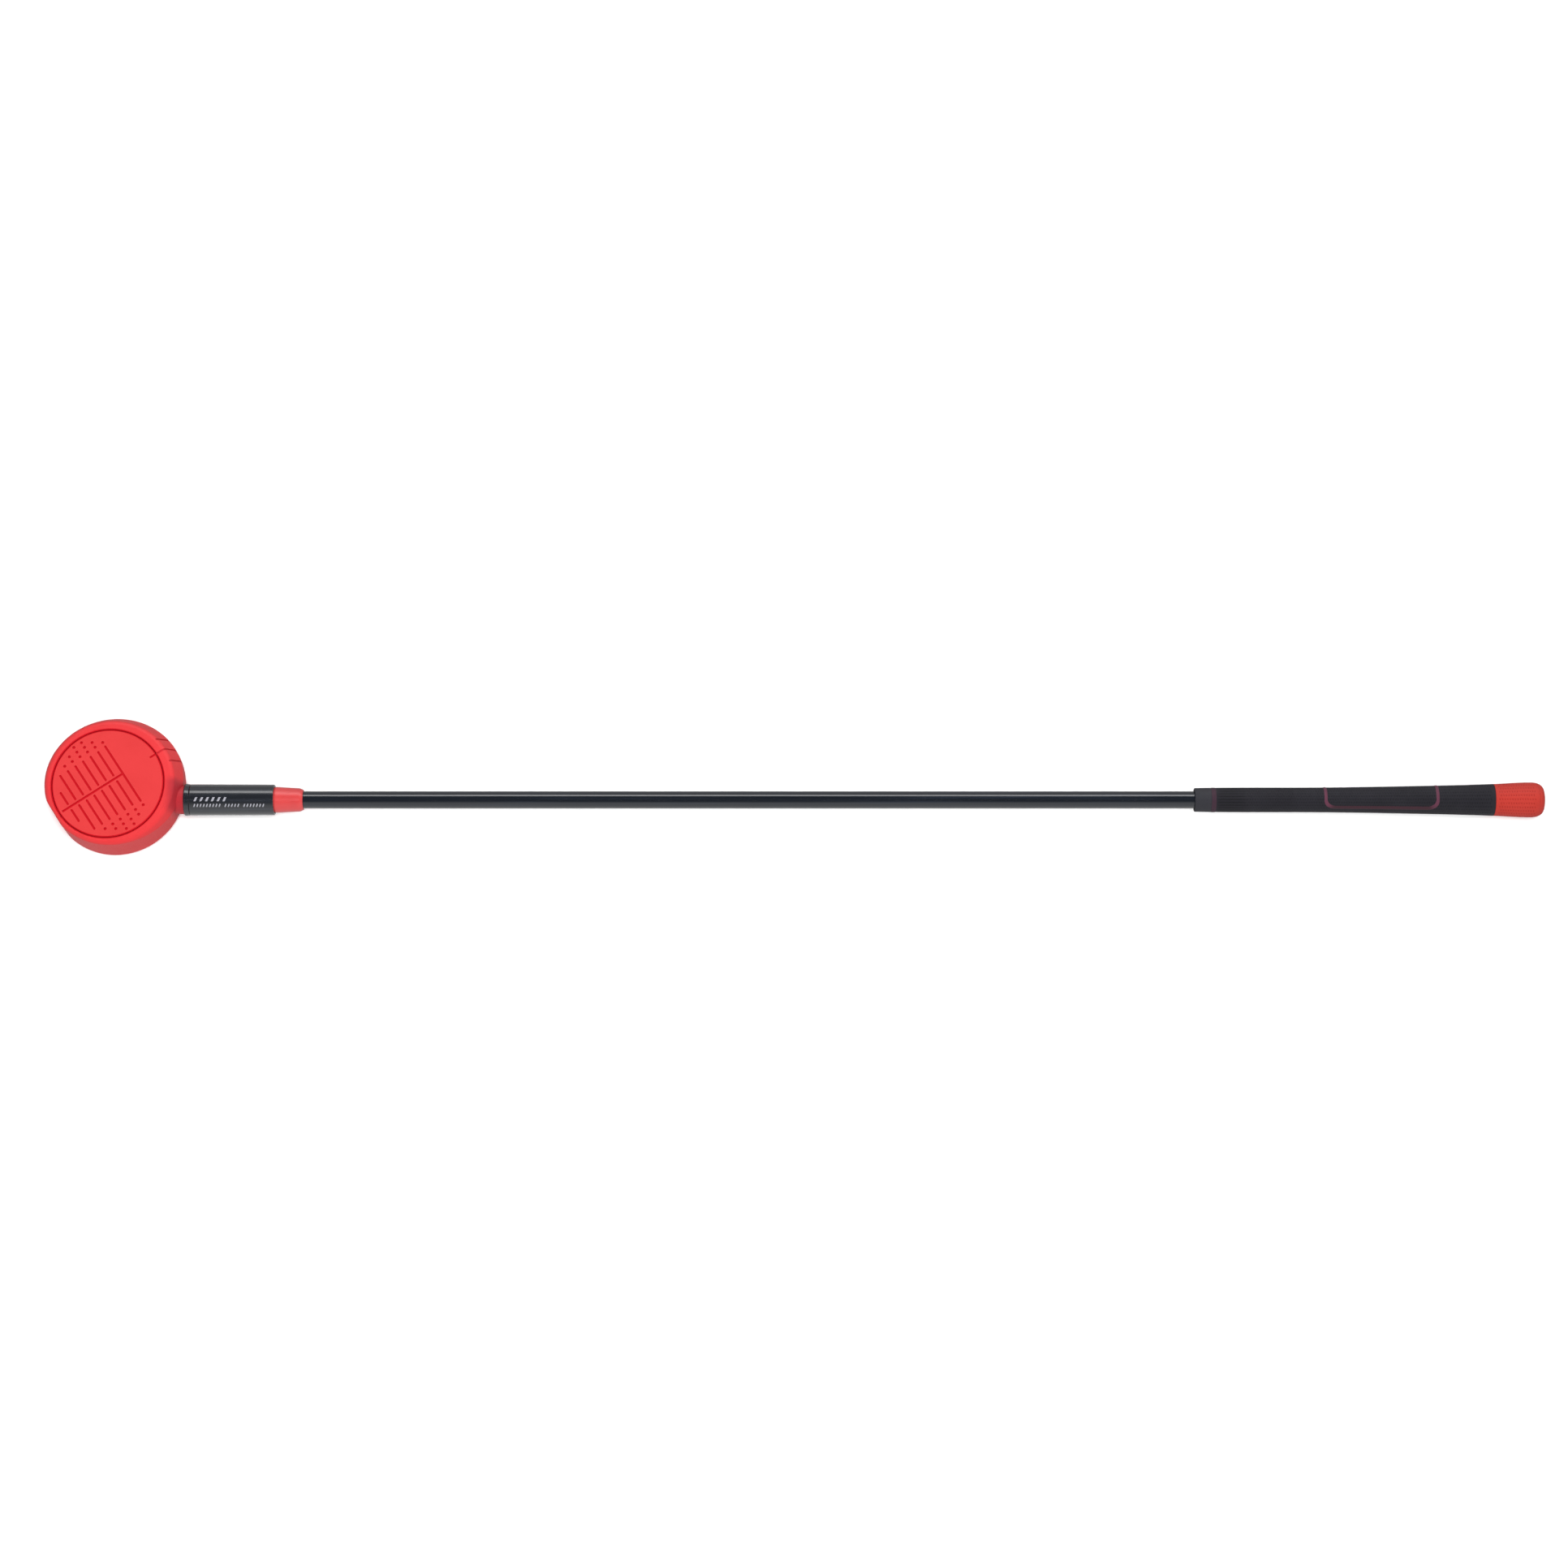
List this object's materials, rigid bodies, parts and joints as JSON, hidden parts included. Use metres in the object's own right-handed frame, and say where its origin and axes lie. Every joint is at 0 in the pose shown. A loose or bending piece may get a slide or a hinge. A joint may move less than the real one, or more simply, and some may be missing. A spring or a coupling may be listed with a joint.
{
  "type": "swing trainer stick",
  "caption": "Golf swing trainer: a round weighted red head with a screw-off front cover on a black shaft, with a rubber grip.",
  "frame": {"origin": "foot of the cover's turning axis on the flat rear face of the head", "axes": "+Z along the cover's turning axis towards the cover, +X along the shaft from the head to the grip"},
  "size_m": [1.139, 0.104, 0.036],
  "materials": {
    "head_red": "matte",
    "cover_red": "matte",
    "carrier_black": "matte",
    "hosel_black": "gloss",
    "ferrule_red": "satin",
    "shaft_black": "gloss",
    "grip_black": "matte",
    "grip_dark_red": "matte",
    "grip_red": "matte",
    "weight_steel": "brushed",
    "post_brass": "machined",
    "seal_rubber": "matte",
    "pad_nylon": "matte",
    "tape_white": "matte"
  },
  "bodies": {
    "stick": {"head_shell": "head_red", "inner_frame": "carrier_black", "frame_screws": "weight_steel", "weight_post": "post_brass", "weight_disc_1": "weight_steel", "weight_disc_2": "weight_steel", "weight_disc_3": "weight_steel", "weight_spacers": "seal_rubber", "hosel_core": "carrier_black", "hosel_pin": "weight_steel", "hosel_collar": "hosel_black", "hosel_sleeve": "hosel_black", "ferrule": "ferrule_red", "shaft": "shaft_black", "tip_plug": "seal_rubber", "counterweight": "weight_steel", "butt_stop": "seal_rubber", "counterweight_screw": "weight_steel", "grip_tape": "tape_white", "mouth_ring": "grip_dark_red", "hand_guide": "grip_dark_red", "grip_sleeve": "grip_black", "grip_cap": "grip_red"},
    "pad": {"pressure_pad": "pad_nylon", "pad_cushion": "seal_rubber", "thrust_washer": "post_brass"},
    "cover": {"front_cover": "cover_red", "cover_seal": "seal_rubber", "pad_screw": "weight_steel"}
  },
  "joints": [
    {"name": "cover_rise", "type": "slide", "parent": "stick", "child": "pad", "axis": [0, 0, 1], "range_m": [0, 0.012]},
    {"name": "cover_twist", "type": "hinge", "parent": "pad", "child": "cover", "pos_m": [0, 0, 0.034], "axis": [0, 0, 1], "range_deg": [0, 180]}
  ],
  "couplings": [
    {"joint": "cover_rise", "follows": "cover_twist", "m_per_rad": 0.0038197}
  ]
}
